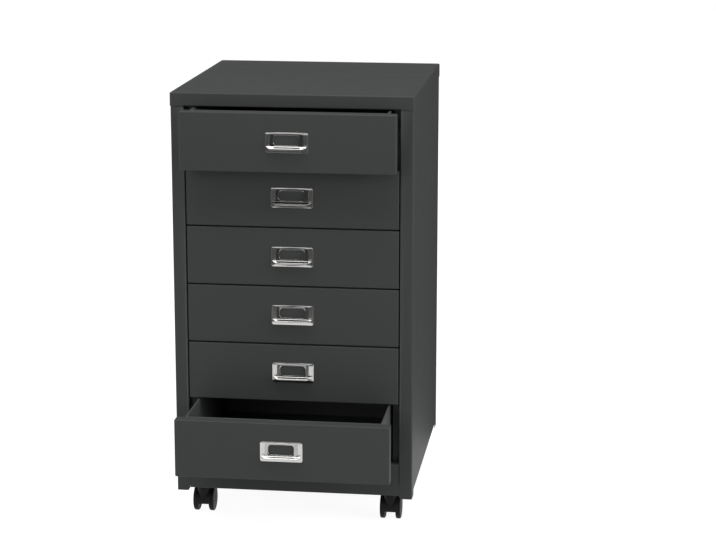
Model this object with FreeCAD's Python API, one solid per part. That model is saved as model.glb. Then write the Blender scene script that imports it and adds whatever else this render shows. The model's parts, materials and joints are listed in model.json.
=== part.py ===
import FreeCAD, Part
import math
import os

# Small six-drawer metal cabinet on four twin-wheel casters.
# Millimetres, +Z up, the drawers open towards -Y. The origin lies on the floor, under the middle of the casing.

# Top cap and side panels. The width and depth are those of the cap
casing_width = 370.0
casing_depth = 405.0
casing_sheet = 0.8
casing_inside_radius = 1.7
cap_lip_height = 20.8
cap_lip_return = 8.0
cap_seat_width = 15.0
cap_seat_inset = 4.0
stile_width = 20.3
stop_lip_width = 11.5
stop_lip_gap = 0.3
stile_fold_start = 24.0
stile_fold_land = 4.0
rear_flange_width = 14.0
foot_height = 4.4
front_foot_length = 26.0
rear_foot_length = 24.0
foot_chamfer = 3.0
side_recess = 6.5
side_hem_width = 12.0
side_hem_height = 10.0

# Drawers
drawer_count = 6
front_height = 88.9
front_gap = 2.0
front_side_gap = 1.5
front_depth = 18.0
front_return = 10.0
top_gap = 1.7
rail_gap = 5.0
drawer_sheet = 0.7
drawer_inside_radius = 1.0
tray_depth = 323.0
tray_side_gap = 3.0
tray_rise = 0.8
hem_width = 2.6
hem_drop = 9.0
hem_radius = 1.2
stop_ear_thickness = 1.5
stop_ear_height = 14.0
stop_ear_rise = 4.0
ear_gap = 0.5
tray_held_depth = 53.0
top_drawer_open = 44.0
bottom_drawer_open = 114.0

# Front rail, base plate and back panel
rail_height = 50.7
rail_top_return = 15.0
rail_bottom_return = 8.0
rail_end_gap = 0.3
base_sheet = 1.2
base_flange_height = 12.0
base_corner_radius = 2.5
back_sheet = 0.6
back_edge_gap = 2.0
back_panel_emboss = 2.0
back_emboss_margin = 45.0
back_emboss_slope = 6.0

# Drawer runners and the rear uprights that carry them
runner_sheet = 1.0
runner_inside_radius = 1.0
runner_web_height = 16.0
runner_web_gap = 6.0
runner_overlap = 12.0
runner_slide_gap = 0.3
upright_sheet = 1.0
upright_behind_tray = 19.0
upright_leg = 26.0
upright_overlap = 3.0
upright_end_gap = 2.0

# Screws of the back panel
screw_radius = 1.75
screw_hole_gap = 0.1
screw_length = 9.0
screw_head_radius = 3.6
screw_head_height = 1.9
screw_head_round = 1.2
screw_slot_width = 1.0
screw_slot_depth = 0.9
screws_per_side = 4
screw_end_inset = 40.0

# Drawer pulls
pull_width = 64.0
pull_height = 31.0
pull_drop = 28.3
pull_sheet = 1.0
pull_corner_radius = 3.0
pull_inside_radius = 1.2
pull_frame_width = 53.0
pull_frame_top_inset = 3.0
pull_frame_stand_off = 6.5
pull_root_drop = 22.0
pull_reach = 11.5
pull_lip_fall = 1.2
pull_lip_edge = 3.6
pull_lip_tip_width = 56.0
window_width = 38.5
window_height = 15.2
window_top_margin = 4.6
window_radius = 4.3
lug_width = 4.0
lug_thickness = 1.0
lug_fold = 7.0
lug_inset = 2.0
lug_gap = 0.15

# Casters
wheel_radius = 20.0
wheel_width = 7.5
wheel_dome = 0.7
wheel_cap_radius = 6.5
wheel_cap_rise = 0.4
wheel_edge_radius = 2.4
wheel_spacing = 16.5
wheel_side_gap = 0.3
wheel_bore_depth = 5.6
axle_end_gap = 0.3
axle_radius = 2.5
running_gap = 0.08
press_gap = 0.03
fender_gap = 0.6
fender_thickness = 2.0
fender_width = 25.0
fender_front_height = 16.5
fender_rear_rise = 7.0
foot_clearance = 1.4
hub_radius = 9.0
caster_trail = 12.0
neck_radius = 10.0
neck_gap = 0.3
kingpin_radius = 3.5
kingpin_floor = 4.0
kingpin_chamfer = 0.8
swivel_inset_side = 37.0
swivel_inset_front = 27.0
swivel_inset_rear = 34.0
stem_flange_radius = 11.0
stem_flange_height = 2.0
stem_radius = 4.0
stem_hole_gap = 0.2
stem_tail = 2.0
nut_across_flats = 13.0
nut_height = 6.5

# One overrun for every cut, and the distance under which two places count as one
overrun = 5.0
same_place = 0.001

# Places that follow from the sizes above
half_width = casing_width / 2
side_x = half_width - casing_sheet
side_inner_x = side_x - casing_sheet
front_y = -casing_depth / 2
rear_y = casing_depth / 2
face_y = front_y + casing_sheet
body_rear_y = rear_y - casing_sheet
casing_bend = casing_inside_radius + casing_sheet
drawer_bend = drawer_inside_radius + drawer_sheet
feet_z = 2 * wheel_radius + fender_gap + fender_thickness + foot_clearance
rail_bottom_z = feet_z + foot_height
rail_top_z = rail_bottom_z + rail_height
front_pitch = front_height + front_gap
lowest_front_z = rail_top_z + rail_gap
lip_bottom_z = lowest_front_z + drawer_count * front_pitch - front_gap + top_gap
casing_top_z = lip_bottom_z + cap_lip_height
side_top_z = casing_top_z - casing_sheet
opening_half_width = side_x - stile_width
stop_lip_y = face_y + front_depth + stop_lip_gap
stop_lip_edge_x = opening_half_width - stop_lip_width
front_half_width = opening_half_width - front_side_gap
tray_half_width = stop_lip_edge_x - tray_side_gap
tray_front_y = face_y + front_depth
tray_rear_y = tray_front_y + tray_depth
drawer_travel = tray_depth - tray_held_depth
tray_height = front_height - tray_rise
base_z = feet_z + side_recess + casing_sheet
upright_y = tray_rear_y + upright_behind_tray
runner_web_x = tray_half_width + runner_web_gap
fender_radius = wheel_radius + fender_gap + fender_thickness
stem_flange_z = base_z - stem_flange_height
half_turn = math.degrees(math.pi)
quarter_turn = half_turn / 2


def vector(x, y, z):
    return FreeCAD.Vector(x, y, z)


def block(x_low, x_high, y_low, y_high, z_low, z_high):
    """A box between two opposite corners."""
    return Part.makeBox(x_high - x_low, y_high - y_low, z_high - z_low, vector(x_low, y_low, z_low))


def rod(radius, length, start, direction):
    """A round bar from its start point along a direction."""
    return Part.makeCylinder(radius, length, start, direction)


def rounded(shape, radius, wanted):
    """The shape with a fillet on each edge whose middle passes the test wanted."""
    return shape.makeFillet(radius, [edge for edge in shape.Edges if wanted(edge.CenterOfMass)])


def mirrored(shape):
    """The same shape on the other side of the middle plane."""
    return shape.mirror(vector(0, 0, 0), vector(1, 0, 0))


def rounded_face(corners, radii, place):
    """A flat face whose outline has a round of its own radius at each corner. place turns (u, v) into a point."""
    edges = []
    starts = []
    ends = []
    middles = []
    count = len(corners)
    for index, corner in enumerate(corners):
        before = (corners[index - 1][0] - corner[0], corners[index - 1][1] - corner[1])
        after_corner = corners[(index + 1) % count]
        after = (after_corner[0] - corner[0], after_corner[1] - corner[1])
        before_length = math.hypot(*before)
        after_length = math.hypot(*after)
        toward = (before[0] / before_length, before[1] / before_length)
        away = (after[0] / after_length, after[1] / after_length)
        half_angle = math.acos(max(-1, min(1, toward[0] * away[0] + toward[1] * away[1]))) / 2
        reach = radii[index] / math.tan(half_angle)
        bisector = (toward[0] + away[0], toward[1] + away[1])
        bisector_length = math.hypot(*bisector)
        depth = radii[index] / math.sin(half_angle) - radii[index]
        starts.append((corner[0] + toward[0] * reach, corner[1] + toward[1] * reach))
        ends.append((corner[0] + away[0] * reach, corner[1] + away[1] * reach))
        share = depth / bisector_length
        middles.append((corner[0] + bisector[0] * share, corner[1] + bisector[1] * share))
    for index in range(count):
        if radii[index] > 0:
            arc = Part.Arc(place(*starts[index]), place(*middles[index]), place(*ends[index]))
            edges.append(arc.toShape())
        following = starts[(index + 1) % count]
        if math.dist(ends[index], following) > same_place:
            edges.append(Part.LineSegment(place(*ends[index]), place(*following)).toShape())
    return Part.Face(Part.Wire(edges))


def folded_face(path, thickness, inside_radius, place):
    """The section of a folded sheet. path follows one face of it, and the sheet lies to the left of the path."""
    count = len(path)
    normals = []
    for index in range(count - 1):
        along = (path[index + 1][0] - path[index][0], path[index + 1][1] - path[index][1])
        length = math.hypot(*along)
        normals.append((-along[1] / length, along[0] / length))
    far_side = []
    near_radii = []
    far_radii = []
    for index in range(count):
        first = normals[max(index - 1, 0)]
        second = normals[min(index, count - 2)]
        spread = 1 + first[0] * second[0] + first[1] * second[1]
        shift = ((first[0] + second[0]) / spread, (first[1] + second[1]) / spread)
        far_side.append((path[index][0] + shift[0] * thickness, path[index][1] + shift[1] * thickness))
        turn = first[0] * second[1] - first[1] * second[0]
        is_bend = abs(turn) > same_place
        near_radii.append((inside_radius + (thickness if turn < 0 else 0)) if is_bend else 0)
        far_radii.append((inside_radius + (thickness if turn > 0 else 0)) if is_bend else 0)
    # A left turn has its inside on the far, left side of the path, and a right turn on the path itself
    swap = [(far_radii[i], near_radii[i]) for i in range(count)]
    near_radii = [pair[0] for pair in swap]
    far_radii = [pair[1] for pair in swap]
    return rounded_face(path + far_side[::-1], near_radii + far_radii[::-1], place)


def on_plan(z):
    return lambda u, v: vector(u, v, z)


def on_front_view(y):
    return lambda u, v: vector(u, y, v)


def on_side_view(x):
    return lambda u, v: vector(x, u, v)


def front_z(level):
    """The lower edge of a drawer front. Level 1 is the top drawer."""
    return lowest_front_z + (drawer_count - level) * front_pitch


def drawer_shift(level):
    """How far a drawer stands open."""
    if level == 1:
        return top_drawer_open
    if level == drawer_count:
        return bottom_drawer_open
    return 0


def opened(shape, level):
    """The piece of a drawer where it stands open."""
    return shape.translated(vector(0, -drawer_shift(level), 0))


def tray_bottom_z(level):
    return front_z(level) + tray_rise


def tray_rim_z(level):
    return tray_bottom_z(level) + tray_height


def pull_top_z(level):
    return front_z(level) + front_height - pull_drop


# Casing


def stile_fold():
    """The right stile's return and stop lip, which the drawer fronts close against."""
    path = [
        (stop_lip_edge_x, stop_lip_y),
        (opening_half_width, stop_lip_y),
        (opening_half_width, face_y),
        (opening_half_width + stile_fold_land, face_y),
    ]
    low_z = feet_z + stile_fold_start
    face = folded_face(path, casing_sheet, casing_inside_radius - casing_sheet / 2, on_plan(low_z))
    return face.extrude(vector(0, 0, side_top_z - casing_bend - low_z))


def side_hem():
    """The fold along the lower edge of the right side, between its two feet."""
    low_z = feet_z + side_recess
    path = [
        (side_x - side_hem_width, low_z),
        (side_x, low_z),
        (side_x, low_z + side_hem_height),
    ]
    start_y = front_y + front_foot_length
    face = folded_face(path, casing_sheet, casing_inside_radius, on_front_view(start_y))
    return face.extrude(vector(0, casing_depth - front_foot_length - rear_foot_length, 0))


def foot_corner_cut():
    """The slanted inner corner at the foot of the right stile."""
    points = [
        vector(opening_half_width, face_y - overrun, feet_z + foot_height),
        vector(opening_half_width + foot_chamfer, face_y - overrun, feet_z),
        vector(opening_half_width + foot_chamfer, face_y - overrun, feet_z - overrun),
        vector(opening_half_width - overrun, face_y - overrun, feet_z - overrun),
        vector(opening_half_width - overrun, face_y - overrun, feet_z + foot_height),
    ]
    face = Part.Face(Part.makePolygon(points + points[:1]))
    return face.extrude(vector(0, overrun + casing_bend, 0))


def back_screw_places():
    """Where the screws of the back panel stand: (x, z) down both rear flanges."""
    low = base_z + screw_end_inset
    high = casing_top_z - screw_end_inset
    step = (high - low) / (screws_per_side - 1)
    x = side_x - rear_flange_width / 2
    return [(side * x, low + step * index) for side in (-1, 1) for index in range(screws_per_side)]


def back_screw_holes():
    radius = screw_radius + screw_hole_gap
    length = casing_sheet + back_sheet + 2 * overrun
    start_y = body_rear_y + overrun
    holes = [rod(radius, length, vector(x, start_y, z), vector(0, -1, 0)) for x, z in back_screw_places()]
    return Part.makeCompound(holes)


def top_cap():
    """The folded lid over both sides, with a lip all round that is returned under the front."""
    outer = rounded(
        block(-half_width, half_width, front_y, rear_y, lip_bottom_z, casing_top_z),
        casing_bend,
        lambda middle: middle.z > lip_bottom_z + same_place,
    )
    inner = rounded(
        block(-side_x, side_x, face_y, body_rear_y, lip_bottom_z - overrun, side_top_z),
        casing_inside_radius,
        lambda middle: middle.z > lip_bottom_z - overrun + same_place,
    )
    return_half = opening_half_width - rail_end_gap
    return_z = lip_bottom_z + cap_lip_height / 2
    room = block(-return_half, return_half, front_y - overrun, front_y + casing_bend, lip_bottom_z - overrun, return_z)
    path = [
        (front_y + cap_lip_return, lip_bottom_z),
        (front_y, lip_bottom_z),
        (front_y, return_z),
    ]
    # Followed backwards, because the sheet lies inside the bend
    face = folded_face(path[::-1], casing_sheet, casing_inside_radius - casing_sheet / 2, on_side_view(-return_half))
    lip = face.extrude(vector(2 * return_half, 0, 0))
    return outer.cut(inner).cut(room).fuse(lip).removeSplitter()


def side_panel():
    """The right side as one folded sheet: seat of the cap, side, front stile with its lip, rear flange and feet."""
    outer = rounded(
        block(-side_x, side_x, face_y, body_rear_y, feet_z, side_top_z),
        casing_bend,
        lambda middle: middle.z > feet_z + same_place,
    )
    inner = rounded(
        block(
            -side_inner_x,
            side_inner_x,
            face_y + casing_sheet,
            body_rear_y - casing_sheet,
            feet_z - overrun,
            side_top_z - casing_sheet,
        ),
        casing_inside_radius,
        lambda middle: middle.z > feet_z - overrun + same_place,
    )
    low = feet_z - overrun
    high = side_top_z + overrun
    bend_z = side_top_z - casing_bend
    bend_x = side_x - casing_bend
    stile_y = face_y + casing_bend
    cuts = [
        block(-overrun, opening_half_width, face_y - overrun, stile_y, low, high),
        block(-overrun, opening_half_width + stile_fold_land, face_y - overrun, stile_y, low + overrun, high),
        block(-overrun, side_x - rear_flange_width, body_rear_y - casing_bend, body_rear_y + overrun, low, high),
        block(-overrun, side_x - cap_seat_width, face_y - overrun, body_rear_y + overrun, bend_z, high),
        block(-overrun, bend_x, face_y - overrun, face_y + cap_seat_inset, bend_z, high),
        block(-overrun, bend_x, body_rear_y - cap_seat_inset, body_rear_y + overrun, bend_z, high),
        block(
            side_x - casing_bend - overrun,
            side_x + overrun,
            front_y + front_foot_length,
            rear_y - rear_foot_length,
            low,
            feet_z + side_recess + side_hem_height,
        ),
        block(-side_x - overrun, 0, face_y - overrun, body_rear_y + overrun, low, high),
    ]
    # Below the fold, the foot of the stile keeps its full width
    cuts[1] = cuts[1].cut(block(-overrun, side_x, face_y - overrun, stile_y, low, feet_z + stile_fold_start))
    panel = outer.cut(inner)
    for cut in cuts:
        panel = panel.cut(cut)
    panel = panel.fuse([stile_fold(), side_hem()])
    return panel.cut(foot_corner_cut()).cut(back_screw_holes()).removeSplitter()


def front_rail():
    """The channel below the bottom drawer, flush with the stiles."""
    path = [
        (face_y + rail_bottom_return, rail_bottom_z),
        (face_y, rail_bottom_z),
        (face_y, rail_top_z),
        (face_y + rail_top_return, rail_top_z),
    ]
    start_x = -opening_half_width + rail_end_gap
    # Followed backwards, because the sheet lies inside the channel
    face = folded_face(path[::-1], casing_sheet, casing_inside_radius - casing_sheet / 2, on_side_view(start_x))
    return face.extrude(vector(-2 * start_x, 0, 0))


def caster_places():
    """Each caster's name and the place of its swivel axis."""
    x = half_width - swivel_inset_side
    return {
        "front_left": (-x, front_y + swivel_inset_front),
        "front_right": (x, front_y + swivel_inset_front),
        "rear_left": (-x, rear_y - swivel_inset_rear),
        "rear_right": (x, rear_y - swivel_inset_rear),
    }


def base_plate():
    """The floor of the casing, a shallow pan that stands on the hems of the sides and carries the casters."""
    inner_half = side_inner_x
    start_y = face_y + casing_sheet
    end_y = body_rear_y - casing_sheet - back_sheet
    top_z = base_z + base_flange_height
    outer = block(-inner_half, inner_half, start_y, end_y, base_z, top_z)
    inner = block(
        -inner_half + base_sheet,
        inner_half - base_sheet,
        start_y + base_sheet,
        end_y - base_sheet,
        base_z + base_sheet,
        top_z + overrun,
    )
    outer = rounded(outer, base_corner_radius, lambda middle: middle.z < top_z - same_place)
    inner = rounded(inner, base_corner_radius - base_sheet, lambda middle: middle.z < top_z + same_place)
    plate = outer.cut(inner)
    for x, y in caster_places().values():
        start = vector(x, y, base_z - overrun)
        plate = plate.cut(rod(stem_radius + stem_hole_gap, base_sheet + 2 * overrun, start, vector(0, 0, 1)))
    return plate


def back_panel():
    """The sheet behind the rear flanges, with a raised field that stiffens it."""
    half = side_inner_x - back_edge_gap
    outside_y = body_rear_y - casing_sheet
    low_z = base_z + back_edge_gap
    high_z = side_top_z - casing_sheet - back_edge_gap
    panel = block(-half, half, outside_y - back_sheet, outside_y, low_z, high_z)

    def field(y, grow):
        side = half - back_emboss_margin + grow
        low = low_z + back_emboss_margin - grow
        high = high_z - back_emboss_margin + grow
        corners = [(-side, low), (side, low), (side, high), (-side, high)]
        return Part.makePolygon([vector(x, y, z) for x, z in corners + corners[:1]])

    def raised(base_y):
        return Part.makeLoft([field(base_y, 0), field(base_y - back_panel_emboss, -back_emboss_slope)], True)

    inside_y = outside_y - back_sheet
    return panel.fuse(raised(inside_y)).cut(raised(outside_y)).cut(back_screw_holes()).removeSplitter()


def back_screws():
    """Pan-head screws through the rear flanges."""
    screws = []
    for x, z in back_screw_places():
        head = rod(screw_head_radius, screw_head_height, vector(x, body_rear_y, z), vector(0, 1, 0))
        head = rounded(head, screw_head_round, lambda middle: middle.y > body_rear_y + screw_head_height - same_place)
        slot_z = z - screw_slot_width / 2
        slot_y = body_rear_y + screw_head_height - screw_slot_depth
        reach = screw_head_radius + overrun
        slot = block(x - reach, x + reach, slot_y, slot_y + overrun, slot_z, slot_z + screw_slot_width)
        shank = rod(screw_radius, screw_length, vector(x, body_rear_y, z), vector(0, -1, 0))
        screws.append(head.cut(slot).fuse(shank).removeSplitter())
    return Part.makeCompound(screws)


def rear_upright():
    """The right rear angle: its front leg carries the runners, and its side leg lies on the side panel."""
    path = [
        (side_inner_x, upright_y + upright_leg),
        (side_inner_x, upright_y),
        (tray_half_width - upright_overlap, upright_y),
    ]
    low_z = base_z + base_sheet
    face = folded_face(path[::-1], upright_sheet, runner_inside_radius, on_plan(low_z))
    upright = face.extrude(vector(0, 0, side_top_z - casing_bend - upright_end_gap - low_z))
    flange_x = side_inner_x - base_corner_radius
    flange_top = base_z + base_flange_height + upright_end_gap
    return upright.cut(block(flange_x, side_x, face_y, body_rear_y, base_z, flange_top))


def runner(level):
    """The right runner of one drawer: a ledge under the tray's edge and a web beside it."""
    ledge_top = tray_bottom_z(level) - runner_slide_gap
    ledge_z = ledge_top - runner_sheet
    path = [
        (tray_half_width - runner_overlap, ledge_z),
        (runner_web_x + runner_sheet, ledge_z),
        (runner_web_x + runner_sheet, ledge_z + runner_web_height),
    ]
    start_y = stop_lip_y + casing_sheet
    face = folded_face(path, runner_sheet, runner_inside_radius, on_front_view(start_y))
    return face.extrude(vector(0, upright_y - start_y, 0))


# Drawers


def lug_places():
    """The outer face of each lug's passing part, with the side that it folds towards."""
    x = pull_width / 2 - lug_inset
    return [(x, -1), (-x, 1)]


def lug_z(level):
    return pull_top_z(level) - pull_height / 2


def drawer_front(level):
    """A boxed front with a return all round its back, and a slot for each lug of the pull."""
    low_z = front_z(level)
    high_z = low_z + front_height
    back_y = face_y + front_depth
    half = front_half_width
    every_edge = lambda middle: True
    outer = rounded(block(-half, half, face_y, back_y, low_z, high_z), drawer_bend, every_edge)
    inner = block(
        -half + drawer_sheet,
        half - drawer_sheet,
        face_y + drawer_sheet,
        back_y - drawer_sheet,
        low_z + drawer_sheet,
        high_z - drawer_sheet,
    )
    front = outer.cut(rounded(inner, drawer_inside_radius, every_edge))
    window_half = half - front_return
    window_low = low_z + front_return
    window_high = high_z - front_return
    front = front.cut(block(-window_half, window_half, back_y - drawer_bend, back_y + overrun, window_low, window_high))
    half_slot = lug_width / 2 + lug_gap
    z = lug_z(level)
    for x, side in lug_places():
        near, far = sorted((x - side * lug_gap, x + side * (lug_thickness + lug_gap)))
        front = front.cut(block(near, far, face_y - overrun, face_y + overrun, z - half_slot, z + half_slot))
    return opened(front, level)


def rim_hem(x_low, x_high, y_low, y_high, rim_z):
    """A closed hem with a round top, hollow from below. Its long direction is the longer side."""
    bar = block(x_low, x_high, y_low, y_high, rim_z - hem_drop, rim_z)
    slot_low = rim_z - hem_drop - overrun
    slot_high = rim_z - drawer_sheet
    if x_high - x_low < y_high - y_low:
        on_top = lambda middle: middle.z > rim_z - same_place and abs(middle.x - (x_low + x_high) / 2) > same_place
        slot = block(
            x_low + drawer_sheet, x_high - drawer_sheet, y_low - overrun, y_high + overrun, slot_low, slot_high
        )
    else:
        on_top = lambda middle: middle.z > rim_z - same_place and abs(middle.y - (y_low + y_high) / 2) > same_place
        slot = block(
            x_low - overrun, x_high + overrun, y_low + drawer_sheet, y_high - drawer_sheet, slot_low, slot_high
        )
    return rounded(bar, hem_radius, on_top).cut(slot)


def drawer_tray(level):
    """A folded box behind the front, with hemmed rims and a stop ear on each side."""
    low_z = tray_bottom_z(level)
    rim_z = tray_rim_z(level)
    wall_z = rim_z - hem_drop
    half = tray_half_width

    def body(inset, radius, low, high):
        solid = block(-half + inset, half - inset, tray_front_y + inset, tray_rear_y - inset, low, high)
        return rounded(solid, radius, lambda middle: middle.z < high - same_place)

    outline = body(0, drawer_bend, low_z, rim_z + overrun)
    walls = body(0, drawer_bend, low_z, wall_z)
    inside = body(drawer_sheet, drawer_inside_radius, low_z + drawer_sheet, rim_z + overrun)
    hems = [
        rim_hem(half - hem_width, half, tray_front_y, tray_rear_y, rim_z),
        rim_hem(-half, -half + hem_width, tray_front_y, tray_rear_y, rim_z),
        rim_hem(-half, half, tray_rear_y - hem_width, tray_rear_y, rim_z),
        rim_hem(-half, half, tray_front_y, tray_front_y + hem_width, rim_z),
    ]
    rims = hems[0].fuse(hems[1:]).common(outline)
    ear_y = stop_lip_y + casing_sheet + stop_lip_gap + drawer_travel
    ear_z = low_z + stop_ear_rise
    ear_x = runner_web_x - ear_gap
    ears = []
    for side in (-1, 1):
        near, far = sorted((side * (half - drawer_sheet), side * ear_x))
        ears.append(block(near, far, ear_y, ear_y + stop_ear_thickness, ear_z, ear_z + stop_ear_height))
    return opened(walls.cut(inside).fuse([rims] + ears).removeSplitter(), level)


def pull_outline(width, height, radius, top_z, y, depth):
    """A rounded rectangular plate whose front lies at y and which runs back by depth."""
    half = width / 2
    corners = [(-half, top_z - height), (half, top_z - height), (half, top_z), (-half, top_z)]
    return rounded_face(corners, [radius] * 4, on_front_view(y)).extrude(vector(0, depth, 0))


def pull_lip(top_z):
    """The leaning frame and, below it, the lip that the fingers pull, as one folded strip."""
    half = pull_width / 2
    frame_half = pull_frame_width / 2
    tip_half = pull_lip_tip_width / 2
    plate_y = face_y - pull_sheet
    root = (face_y - pull_frame_stand_off, top_z - pull_root_drop)
    tip_z = top_z - pull_root_drop - pull_lip_fall
    path = [
        (plate_y, top_z - pull_frame_top_inset),
        root,
        (face_y - pull_reach, tip_z),
        (face_y - pull_reach, tip_z - pull_lip_edge),
    ]
    strip = folded_face(path, pull_sheet, pull_inside_radius, on_side_view(-half)).extrude(vector(pull_width, 0, 0))
    for side in (-1, 1):
        near, far = sorted((side * frame_half, side * (half + overrun)))
        strip = strip.cut(block(near, far, face_y - pull_reach, face_y, root[1], top_z))
        taper = [
            vector(side * half, face_y - pull_frame_stand_off, tip_z - overrun),
            vector(side * tip_half, face_y - pull_reach, tip_z - overrun),
            vector(side * tip_half, face_y - pull_reach - overrun, tip_z - overrun),
            vector(side * (half + overrun), face_y - pull_reach - overrun, tip_z - overrun),
            vector(side * (half + overrun), face_y - pull_frame_stand_off, tip_z - overrun),
        ]
        wedge = Part.Face(Part.makePolygon(taper + taper[:1])).extrude(vector(0, 0, pull_height))
        strip = strip.cut(wedge)
    return strip


def pull_cheek(side, top_z):
    """The side wall that joins the leaning frame to the plate."""
    root_z = top_z - pull_root_drop
    points = [
        (face_y, top_z - pull_frame_top_inset),
        (face_y - pull_sheet, top_z - pull_frame_top_inset),
        (face_y - pull_frame_stand_off, root_z),
        (face_y, root_z),
    ]
    x = side * pull_frame_width / 2 - (pull_sheet if side > 0 else 0)
    wire = Part.makePolygon([vector(x, y, z) for y, z in points + points[:1]])
    return Part.Face(wire).extrude(vector(pull_sheet, 0, 0))


def drawer_pull(level):
    """A stamped label-holder pull: plate, leaning window frame, finger lip and two lugs folded behind the front."""
    top_z = pull_top_z(level)
    plate_y = face_y - pull_sheet
    plate = pull_outline(pull_width, pull_height, pull_corner_radius, top_z, plate_y, pull_sheet)
    pull = plate.fuse([pull_lip(top_z), pull_cheek(-1, top_z), pull_cheek(1, top_z)])
    window_z = top_z - window_top_margin
    window_y = face_y - pull_reach
    pull = pull.cut(
        pull_outline(window_width, window_height, window_radius, window_z, window_y, pull_reach + overrun)
    )
    inside_y = face_y + drawer_sheet
    z_low = lug_z(level) - lug_width / 2
    for x, side in lug_places():
        near, far = sorted((x, x + side * lug_thickness))
        passing = block(near, far, plate_y, inside_y + lug_thickness, z_low, z_low + lug_width)
        near, far = sorted((x, x + side * lug_fold))
        folded = block(near, far, inside_y, inside_y + lug_thickness, z_low, z_low + lug_width)
        pull = pull.fuse([passing, folded])
    return opened(pull.removeSplitter(), level)


# Casters, built around a swivel axis at the origin


def caster_stem():
    """The fixed stem: a kingpin below its flange and a threaded end above it."""
    kingpin_z = fender_front_height + kingpin_floor
    stem_top_z = base_z + base_sheet + nut_height + stem_tail
    profile = [
        (0, kingpin_z),
        (kingpin_radius - kingpin_chamfer, kingpin_z),
        (kingpin_radius, kingpin_z + kingpin_chamfer),
        (kingpin_radius, stem_flange_z),
        (stem_flange_radius, stem_flange_z),
        (stem_flange_radius, base_z),
        (stem_radius, base_z),
        (stem_radius, stem_top_z - kingpin_chamfer),
        (stem_radius - kingpin_chamfer, stem_top_z),
        (0, stem_top_z),
    ]
    wire = Part.makePolygon([vector(x, 0, z) for x, z in profile + profile[:1]])
    return Part.Face(wire).revolve(vector(0, 0, 0), vector(0, 0, 1), 2 * half_turn)


def across(radius, width, y, z):
    """A round bar along X, centred on the swivel axis."""
    return rod(radius, width, vector(-width / 2, y, z), vector(1, 0, 0))


def caster_hood():
    """The swivelling body: a web between the wheels, a fender over them and the neck round the kingpin."""
    axle_y = caster_trail
    axle_z = wheel_radius
    web_width = wheel_spacing - 2 * wheel_side_gap
    reach = fender_radius + overrun
    under = block(-reach, reach, axle_y - reach, axle_y + reach, -overrun, fender_front_height)
    behind = block(-reach, reach, axle_y, axle_y + reach, -overrun, axle_z + fender_rear_rise)
    web = across(fender_radius, web_width, axle_y, axle_z).cut(under).cut(behind)
    web = web.fuse(across(hub_radius, web_width, axle_y, axle_z))
    wheel_room = across(wheel_radius + fender_gap, 2 * reach, axle_y, axle_z)
    fender = across(fender_radius, fender_width, axle_y, axle_z).cut(wheel_room).cut(under).cut(behind)
    neck_top = stem_flange_z - neck_gap
    neck = rod(neck_radius, neck_top - axle_z, vector(0, 0, axle_z), vector(0, 0, 1)).cut(wheel_room)
    hood = web.fuse([fender, neck])
    bore_z = fender_front_height + kingpin_floor - neck_gap
    bore = rod(kingpin_radius + running_gap, neck_top, vector(0, 0, bore_z), vector(0, 0, 1))
    axle_hole = across(axle_radius + press_gap, 2 * reach, axle_y, axle_z)
    return hood.cut(bore).cut(axle_hole).removeSplitter()


def caster_axle():
    """The steel axle, held in the web, whose ends lie in the blind bores of the wheels."""
    length = wheel_spacing + 2 * (wheel_bore_depth - axle_end_gap)
    return across(axle_radius, length, caster_trail, wheel_radius)


def caster_wheel():
    """The wheel on the +X side: a rounded tread, a domed outer face and a blind bore."""
    inner_x = wheel_spacing / 2
    outer_x = inner_x + wheel_width
    bore = axle_radius + running_gap
    edge = wheel_edge_radius
    bow = edge - edge * math.sin(math.pi / 4)
    bottom_x = inner_x + wheel_bore_depth
    face_radius = wheel_radius - edge

    def at(x, radius):
        return vector(x, caster_trail, wheel_radius + radius)

    sphere = (face_radius**2 + wheel_dome**2) / (2 * wheel_dome)

    def dome_x(radius):
        return outer_x + wheel_dome - sphere + math.sqrt(sphere**2 - radius**2)

    middle = (face_radius + wheel_cap_radius) / 2
    cap_x = dome_x(wheel_cap_radius) + wheel_cap_rise
    edges = [
        Part.LineSegment(at(bottom_x, 0), at(bottom_x, bore)),
        Part.LineSegment(at(bottom_x, bore), at(inner_x, bore)),
        Part.LineSegment(at(inner_x, bore), at(inner_x, face_radius)),
        Part.Arc(at(inner_x, face_radius), at(inner_x + bow, wheel_radius - bow), at(inner_x + edge, wheel_radius)),
        Part.LineSegment(at(inner_x + edge, wheel_radius), at(outer_x - edge, wheel_radius)),
        Part.Arc(at(outer_x - edge, wheel_radius), at(outer_x - bow, wheel_radius - bow), at(outer_x, face_radius)),
        Part.Arc(
            at(outer_x, face_radius), at(dome_x(middle), middle), at(dome_x(wheel_cap_radius), wheel_cap_radius)
        ),
        Part.LineSegment(at(dome_x(wheel_cap_radius), wheel_cap_radius), at(cap_x, wheel_cap_radius)),
        Part.LineSegment(at(cap_x, wheel_cap_radius), at(cap_x, 0)),
        Part.LineSegment(at(cap_x, 0), at(bottom_x, 0)),
    ]
    face = Part.Face(Part.Wire([edge_curve.toShape() for edge_curve in edges]))
    return face.revolve(vector(0, caster_trail, wheel_radius), vector(1, 0, 0), 2 * half_turn)


def caster_nut():
    """A hexagon nut on the threaded end of a stem."""
    corner_radius = nut_across_flats / math.sqrt(3)
    low_z = base_z + base_sheet
    sides = 6
    points = []
    for index in range(sides + 1):
        turn = 2 * math.pi * index / sides
        points.append(vector(corner_radius * math.cos(turn), corner_radius * math.sin(turn), low_z))
    nut = Part.Face(Part.makePolygon(points)).extrude(vector(0, 0, nut_height))
    return nut.cut(rod(stem_radius + press_gap, nut_height, vector(0, 0, low_z), vector(0, 0, 1)))


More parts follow.
